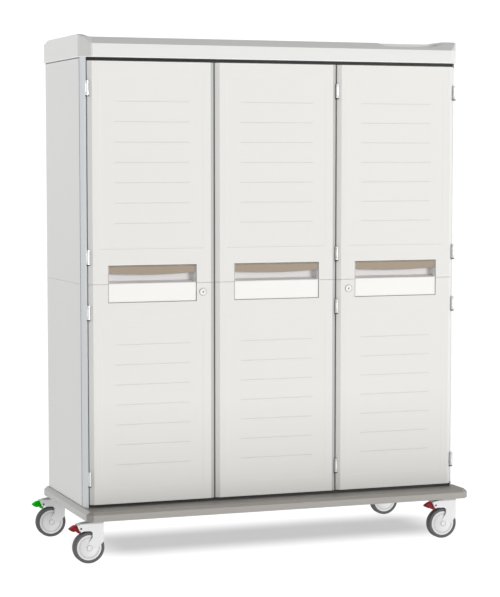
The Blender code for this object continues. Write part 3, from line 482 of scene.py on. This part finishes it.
def makeMaterials():
    made = {}
    for name, (*values, specular) in finishes.items():
        made[name] = makeFinish(name, "grain", dict(zip(grainLabels, values)), specular=specular)
    for name, (*values, metallic) in metals.items():
        made[name] = makeFinish(name, "brushed", dict(zip(brushedLabels, values)), metallic=metallic)
    for name, boxes in paintedLightZones.items():
        for low, high, colour in boxes:
            layColour(made[name], maskFrom(made[name], "zone", {"Low": low, "High": high}), colour)
    for middle in doorMiddles:
        lines = maskFrom(made["doorWhite"], "lines", {"Middle": middle, **grooveLines})
        layColour(made["doorWhite"], lines, [grooveKept] * 3, "MULTIPLY")
    for name, (start, stop, kept) in lowShades.items():
        fall = maskFrom(made[name], "fall", {"From": start, "To": stop})
        layColour(made[name], fall, [kept] * 3, "MULTIPLY")
    return made


materials = makeMaterials()
print("materials made:", len(materials))


# finish of each CAD node, by the start of its name

nodeFinish = (
    ("door_", "doorWhite"), ("handle_pan", "panGrey"), ("grip_", "gripTaupe"), ("label_strip", "labelWhite"),
    ("hinge_", "hingeSteel"), ("lock_", "lockChrome"), ("top_cover", "coverWhite"),
    ("base_bumper", "baseTaupe"), ("base_deck", "deckPlate"), ("partition", "wallWhite"),
    ("front_post_left", "aluminiumProfile"), ("front_post_right", "aluminiumPaintedLight"),
    ("side_", "bodyWhite"), ("liner_", "bodyWhite"), ("floor_panel", "bodyWhite"), ("top_panel", "bodyWhite"),
    ("back_panel", "bodyWhite"), ("fork_", "casterGrey"), ("hub_", "casterGrey"), ("tyre_", "tyreGrey"),
    ("lever_rear_left", "leverGreen"), ("lever_", "leverRed"),
)


def dressNodes():
    for name, piece in nodes.items():
        finish = next(chosen for start, chosen in nodeFinish if name.startswith(start))
        piece.data.materials.clear()
        piece.data.materials.append(materials[finish])


dressNodes()
print("nodes dressed")


# helpers for the extra pieces

weldDistance = 1e-7


def addPiece(name, shape, finish, body, replaced=(), sharpDeg=40):
    bmesh.ops.remove_doubles(shape, verts=shape.verts, dist=weldDistance)
    bmesh.ops.recalc_face_normals(shape, faces=shape.faces)
    mesh = bpy.data.meshes.new(name)
    shape.to_mesh(mesh)
    shape.free()
    mesh.shade_smooth()
    mesh.set_sharp_from_angle(angle=math.radians(sharpDeg))
    mesh.materials.append(materials[finish])
    piece = bpy.data.objects.new(name, mesh)
    bpy.context.collection.objects.link(piece)
    if replaced:
        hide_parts(*replaced)
    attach(piece, body)


# turns a profile of (radius, height) points about Z; a closed profile makes a ring
def latheInto(shape, profile, steps, placing, closed=True):
    rings = []
    for step in range(steps):
        turn = 2 * math.pi * step / steps
        rings.append([
            shape.verts.new(placing @ Vector((radius * math.cos(turn), radius * math.sin(turn), height)))
            for radius, height in profile
        ])
    last = len(profile) if closed else len(profile) - 1
    for step in range(steps):
        here, there = rings[step], rings[(step + 1) % steps]
        for index in range(last):
            after = (index + 1) % len(profile)
            shape.faces.new((here[index], there[index], there[after], here[after]))


# an outline of (across, up) points drawn out between two places along X, with its ends drawn in
def drawAlongX(shape, outline, start, stop, endInset, endShare):
    sections = []
    middle = [sum(values) / len(outline) for values in zip(*outline)]
    for x, keep in ((start, endShare), (start + endInset, 1), (stop - endInset, 1), (stop, endShare)):
        sections.append([
            shape.verts.new((x, middle[0] + (y - middle[0]) * keep, middle[1] + (z - middle[1]) * keep))
            for y, z in outline
        ])
    for first, second in zip(sections, sections[1:]):
        for index in range(len(outline)):
            after = (index + 1) % len(outline)
            shape.faces.new((first[index], first[after], second[after], second[index]))
    shape.faces.new(sections[0])
    shape.faces.new(sections[-1][::-1])


# placings: a lathe's Z axis laid along Y, forwards or back, or kept upright
alongY = Matrix.Rotation(math.pi / 2, 4, "X")
againstY = Matrix.Rotation(-math.pi / 2, 4, "X")
casterNames = ("front_left", "rear_left", "front_right", "rear_right")


# black strips in the gaps above and below the doors, laid as painted shade in the dark gaps

gapShades = {
    "front": -0.2384, "thick": 0.0042, "inset": 0.0185, "endInset": 0.002, "endShare": 0.55,
    "ease": 0.0012, "notch": 0.0009, "notchShares": (0.4, 0.5, 0.6),
    "heights": {"gap_shade_top": (1.9930, 2.0060), "gap_shade_foot": (0.2118, 0.2226)},
}


def makeGapShades():
    left = boxOf("side_left_lower")[0].x + gapShades["inset"]
    right = boxOf("side_right_lower")[1].x - gapShades["inset"]
    front, rear, ease = gapShades["front"], gapShades["front"] + gapShades["thick"], gapShades["ease"]
    for name, (low, high) in gapShades["heights"].items():
        below, bottom, above = (low + share * (high - low) for share in gapShades["notchShares"])
        outline = [
            (rear, low), (front + ease, low), (front, low + ease), (front, below),
            (front + gapShades["notch"], bottom), (front, above), (front, high - ease), (front + ease, high),
            (rear, high),
        ]
        shape = bmesh.new()
        drawAlongX(shape, outline, left, right, gapShades["endInset"], gapShades["endShare"])
        addPiece(name, shape, "blackRubberAndPaintedShade", "body", sharpDeg=30)


# wheels: smooth hub and tyre in place of the plain ones

wheel = {
    "steps": 72,
    "hub": (  # radius, half width
        (0.0056, 0.0148), (0.0060, 0.0152), (0.0150, 0.0152), (0.0155, 0.0148), (0.0160, 0.0148),
        (0.0165, 0.0151),
        (0.0380, 0.0151), (0.0384, 0.0148), (0.0389, 0.0148), (0.0393, 0.0151), (0.0407, 0.0151),
        (0.0413, 0.0140), (0.0421, 0.0140), (0.0428, 0.0151), (0.0495, 0.0151), (0.0507, 0.0143),
        (0.0512, 0.0130),
    ),
    "rings": ((0.0410, 0.0424, 0.01535), (0.0380, 0.0387, 0.01535)),  # grey rings of painted shade over the hub's grooves: inner and outer radius, half width
    "ringDepth": 0.0004,
    "tyre": (
        (0.0515, 0.0150), (0.0522, 0.0161), (0.0534, 0.0164), (0.0560, 0.0161), (0.0586, 0.0164),
        (0.0606, 0.0163), (0.0621, 0.0155), (0.0630, 0.0141), (0.0634, 0.0120), (0.0635, 0.0060),
    ),
}


def makeWheels():
    for name in casterNames:
        low, high = boxOf("hub_" + name)
        placing = Matrix.Translation((low + high) / 2) @ alongY
        for part, finish, slot in (("hub", "casterGrey", "caster_grey"), ("tyre", "tyreGrey", "tyre_grey")):
            half = list(wheel[part])
            profile = half + [(radius, -height) for radius, height in reversed(half)]
            shape = bmesh.new()
            latheInto(shape, profile, wheel["steps"], placing)
            addPiece(part + "_smooth_" + name, shape, finish, "wheel_" + name, (part + "_" + name,), 50)
        shape = bmesh.new()
        for inner, outer, height in wheel["rings"]:
            for side in (-1, 1):
                face, back = side * height, side * (height - wheel["ringDepth"])
                ring = ((inner, back), (inner, face), (outer, face), (outer, back))
                latheInto(shape, ring, wheel["steps"], placing)
        addPiece("hub_rings_" + name, shape, "paintedShadeGrey", "wheel_" + name)


# caps on the axles, dark pin ends and dust rings on the casters

casterTrim = {
    "steps": 48, "pinSteps": 24, "cheek": 0.0225, "stemAhead": 0.043, "pinAlong": 0.0778, "pinHeight": 0.1432,
    "cap": (
        (0.0115, -0.0004), (0.0115, 0.0008), (0.0109, 0.0014), (0.0098, 0.0017), (0.0050, 0.0019),
        (0.0046, 0.0016), (0.0, 0.0016),
    ),
    "pin": ((0.0040, -0.0003), (0.0040, 0.0005), (0.0034, 0.0010), (0.0, 0.0011)),
    "ring": ((0.0150, 0.1661), (0.0235, 0.1661), (0.0240, 0.1665), (0.0228, 0.1669), (0.0150, 0.1669)),
    "capShadeLine": ((0.0100, 0.0010), (0.0102, 0.0021), (0.0119, 0.0019), (0.0121, -0.0004)),
    "cone": (
        (0.0100, -0.0068), (0.0355, -0.0068), (0.0340, -0.0062), (0.0300, -0.0050), (0.0250, -0.0034),
        (0.0200, -0.0018), (0.0165, -0.0009), (0.0140, -0.0005), (0.0100, -0.0005),
    ),
}


def makeCasterTrim():
    for name in casterNames:
        low, high = boxOf("hub_" + name)
        centre = (low + high) / 2
        stem = centre + Vector((casterTrim["stemAhead"], 0, 0))
        # the cap lines are grey rings of painted shade round the caps' edges
        for part, profile, finish, closed in (
            ("axle_caps_", "cap", "casterGrey", False), ("cap_shade_lines_", "capShadeLine", "paintedShadeGrey", True),
            ("boss_cones_", "cone", "casterGrey", True),
        ):
            shape = bmesh.new()
            for side, turn in ((-1, alongY), (1, againstY)):
                cheek = Matrix.Translation(centre + Vector((0, side * casterTrim["cheek"], 0)))
                latheInto(shape, casterTrim[profile], casterTrim["steps"], cheek @ turn, closed)
            addPiece(part + name, shape, finish, "caster_" + name)
        shape = bmesh.new()
        ringPlace = Matrix.Translation((stem.x, stem.y, 0))
        latheInto(shape, casterTrim["ring"], casterTrim["steps"], ringPlace)
        addPiece("dust_ring_" + name, shape, "hingeSteel", "caster_" + name)
        if "lever_" + name not in nodes:
            continue
        shape = bmesh.new()
        x = stem.x - casterTrim["pinAlong"]
        for side, turn in ((-1, alongY), (1, againstY)):
            place = Matrix.Translation((x, stem.y + side * casterTrim["cheek"], casterTrim["pinHeight"]))
            latheInto(shape, casterTrim["pin"], casterTrim["pinSteps"], place @ turn, False)
        addPiece("pin_ends_" + name, shape, "blackRubberAndPaintedShade", "brake_" + name)


# dark bushings under the hinges, and the locks' rings, with grey rings of painted shade round the locks and
# black keyways of painted shade

fittings = {
    "smallSteps": 24, "knuckleSteps": 32, "lockSteps": 48, "screwSteps": 20,
    "hingeInset": 0.0063,  # from a hinge's outer edges to its axis
    "bushing": (
        (0.0032, -0.0004), (0.0062, -0.0004), (0.0067, 0.0002), (0.0067, 0.0036), (0.0064, 0.0040),
        (0.0032, 0.0040),
    ),
    "lockBehind": 0.0025,
    "lockUp": 0.0137,  # from the foot of the lock's box to its centre
    "lockRing": (
        (0.0112, 0.0004), (0.0137, 0.0004), (0.0143, 0.0012), (0.0141, 0.0024), (0.0131, 0.0031),
        (0.0119, 0.0031), (0.0112, 0.0026),
    ),
    "keyway": ((0.0044, -0.0004), (0.0044, 0.0001), (0.0, 0.0002)),
    "lockEdgeShade": ((0.0146, 0.0002), (0.0158, 0.0002), (0.0158, 0.0018), (0.0152, 0.0022), (0.0146, 0.0020)),
    "keywayNarrow": 0.5,
    "keywayTurnDeg": 24,
    "knuckle": (0.0060, 0.0065, 0.0005),  # inner and outer radius, eased edge
    "knuckleHeights": (0.0158, 0.0510),  # from a hinge's foot
    "frameWidths": {"left": 0.0008, "right": 0.0022, "foot": 0.0020, "head": 0.0026},
    "framePlaces": (-0.2587, -0.2577),
    "screw": ((0.0042, -0.0004), (0.0042, 0.0006), (0.0034, 0.0014), (0.0018, 0.0017), (0.0, 0.0017)),
    "screwInset": 0.016,
    "screwRows": (0.0, 0.25, 0.5, 0.75, 1.0),
    "lipAcross": (0.8303, 0.8336),
    "lipPlaces": (-0.2488, -0.2380),
    "lipEase": 0.0008,
    "lipInset": 0.018,
    "lipGap": 0.0012,
}


# the foot of each hinge's axis; the left door hangs at its left, the others at their right
def hingeFeet(door):
    inset = fittings["hingeInset"]
    for hinge in (1, 2, 3, 4):
        low, high = boxOf(f"hinge_{door}_{hinge}")
        yield Matrix.Translation((low.x + inset if door == 1 else high.x - inset, low.y + inset, low.z))


def makeFittings():
    for door in doors:
        shape = bmesh.new()
        for place in hingeFeet(door):
            latheInto(shape, fittings["bushing"], fittings["smallSteps"], place)
        addPiece(f"hinge_bushings_{door}", shape, "blackRubberAndPaintedShade", f"door_{door}")
    for door in (1, 3):
        low, high = boxOf(f"lock_{door}")
        centre = Vector(((low.x + high.x) / 2, low.y + fittings["lockBehind"], low.z + fittings["lockUp"]))
        face = Matrix.Translation(centre) @ alongY
        shape = bmesh.new()
        latheInto(shape, fittings["lockRing"], fittings["lockSteps"], face)
        addPiece(f"lock_ring_{door}", shape, "lockChrome", f"lock_{door}_turn")
        # a grey ring of painted shade round the lock's edge
        shape = bmesh.new()
        latheInto(shape, fittings["lockEdgeShade"], fittings["lockSteps"], face)
        addPiece(f"lock_edge_shade_{door}", shape, "paintedShadeGrey", f"door_{door}")
        # the keyway: a black disc laid as painted shade in its slot
        shape = bmesh.new()
        narrow = Matrix.Diagonal((fittings["keywayNarrow"], 1, 1, 1))
        turn = Matrix.Rotation(math.radians(fittings["keywayTurnDeg"]), 4, "Y")
        place = Matrix.Translation((centre.x, low.y, centre.z)) @ turn @ alongY
        latheInto(shape, fittings["keyway"], fittings["smallSteps"], place @ narrow, False)
        addPiece(f"keyway_{door}", shape, "blackRubberAndPaintedShade", f"lock_{door}_turn")


# steel sleeves on the middle knuckles, which stay with the frame
def makeKnuckles():
    inner, outer, ease = fittings["knuckle"]
    foot, head = fittings["knuckleHeights"]
    profile = (
        (inner, foot), (outer - ease, foot), (outer, foot + ease), (outer, head - ease),
        (outer - ease, head), (inner, head),
    )
    for door in doors:
        shape = bmesh.new()
        for place in hingeFeet(door):
            latheInto(shape, profile, fittings["knuckleSteps"], place)
        addPiece(f"hinge_knuckles_{door}", shape, "hingeSteel", "body")


# a black frame around each handle, laid as painted shade at the edge of its recess
def makeHandleShadeFrames():
    widths = fittings["frameWidths"]
    front, rear = fittings["framePlaces"]
    for door in doors:
        low, high = boxOf(f"handle_pan_{door}")
        edges = {}
        for turn in (-0.5, 0.5):
            edges[turn] = [
                (low.x + turn * widths["left"], low.z + turn * widths["foot"]),
                (high.x - turn * widths["right"], low.z + turn * widths["foot"]),
                (high.x - turn * widths["right"], high.z - turn * widths["head"]),
                (low.x + turn * widths["left"], high.z - turn * widths["head"]),
            ]
        shape = bmesh.new()
        rings = [
            [shape.verts.new((x, y, z)) for x, z in edges[turn]]
            for turn, y in ((-0.5, rear), (-0.5, front), (0.5, front), (0.5, rear))
        ]
        for first, second in zip(rings, rings[1:] + rings[:1]):
            for index in range(4):
                after = (index + 1) % 4
                shape.faces.new((first[index], first[after], second[after], second[index]))
        addPiece(f"handle_shade_frame_{door}", shape, "blackRubberAndPaintedShade", f"door_{door}")


# a pale lip on the right post, which fills the gap that the photograph shows as white
def makePostLip():
    low, high = boxOf("front_post_right")
    inset = fittings["lipInset"]
    stops = [low.z + inset]
    hinges = (boxOf(f"hinge_3_{number}") for number in (1, 2, 3, 4))
    for foot, head in sorted((below.z, above.z) for below, above in hinges):
        stops += [foot - fittings["lipGap"], head + fittings["lipGap"]]
    stops.append(high.z - inset)
    across, (front, rear) = fittings["lipAcross"], fittings["lipPlaces"]
    ease = fittings["lipEase"]
    outline = [
        (across[0], rear), (across[0], front + ease), (across[0] + ease, front), (across[1], front),
        (across[1], rear),
    ]
    shape = bmesh.new()
    for ends in zip(stops[::2], stops[1::2]):
        rings = [[shape.verts.new((x, y, z)) for x, y in outline] for z in ends]
        for index in range(len(outline)):
            after = (index + 1) % len(outline)
            shape.faces.new((rings[0][index], rings[0][after], rings[1][after], rings[1][index]))
        shape.faces.new(rings[0])
        shape.faces.new(rings[1][::-1])
    # the lip's paler aluminium finish is painted light
    addPiece("post_lip_right", shape, "aluminiumPaintedLight", "body")


# screw heads around the back panel
def makeBackScrews():
    low, high = boxOf("back_panel")
    inset = fittings["screwInset"]
    shape = bmesh.new()
    for share in fittings["screwRows"]:
        z = low.z + inset + share * (high.z - low.z - 2 * inset)
        for x in (low.x + inset, (low.x + high.x) / 2, high.x - inset):
            place = Matrix.Translation((x, high.y, z)) @ againstY
            latheInto(shape, fittings["screw"], fittings["screwSteps"], place, False)
    addPiece("back_screws", shape, "hingeSteel", "body")


makeGapShades()
makeWheels()
makeCasterTrim()
makeFittings()
makeKnuckles()
makeHandleShadeFrames()
makePostLip()
makeBackScrews()
print("extra pieces made")

makeCamera()
makeStudio()
print("camera and studio ready")
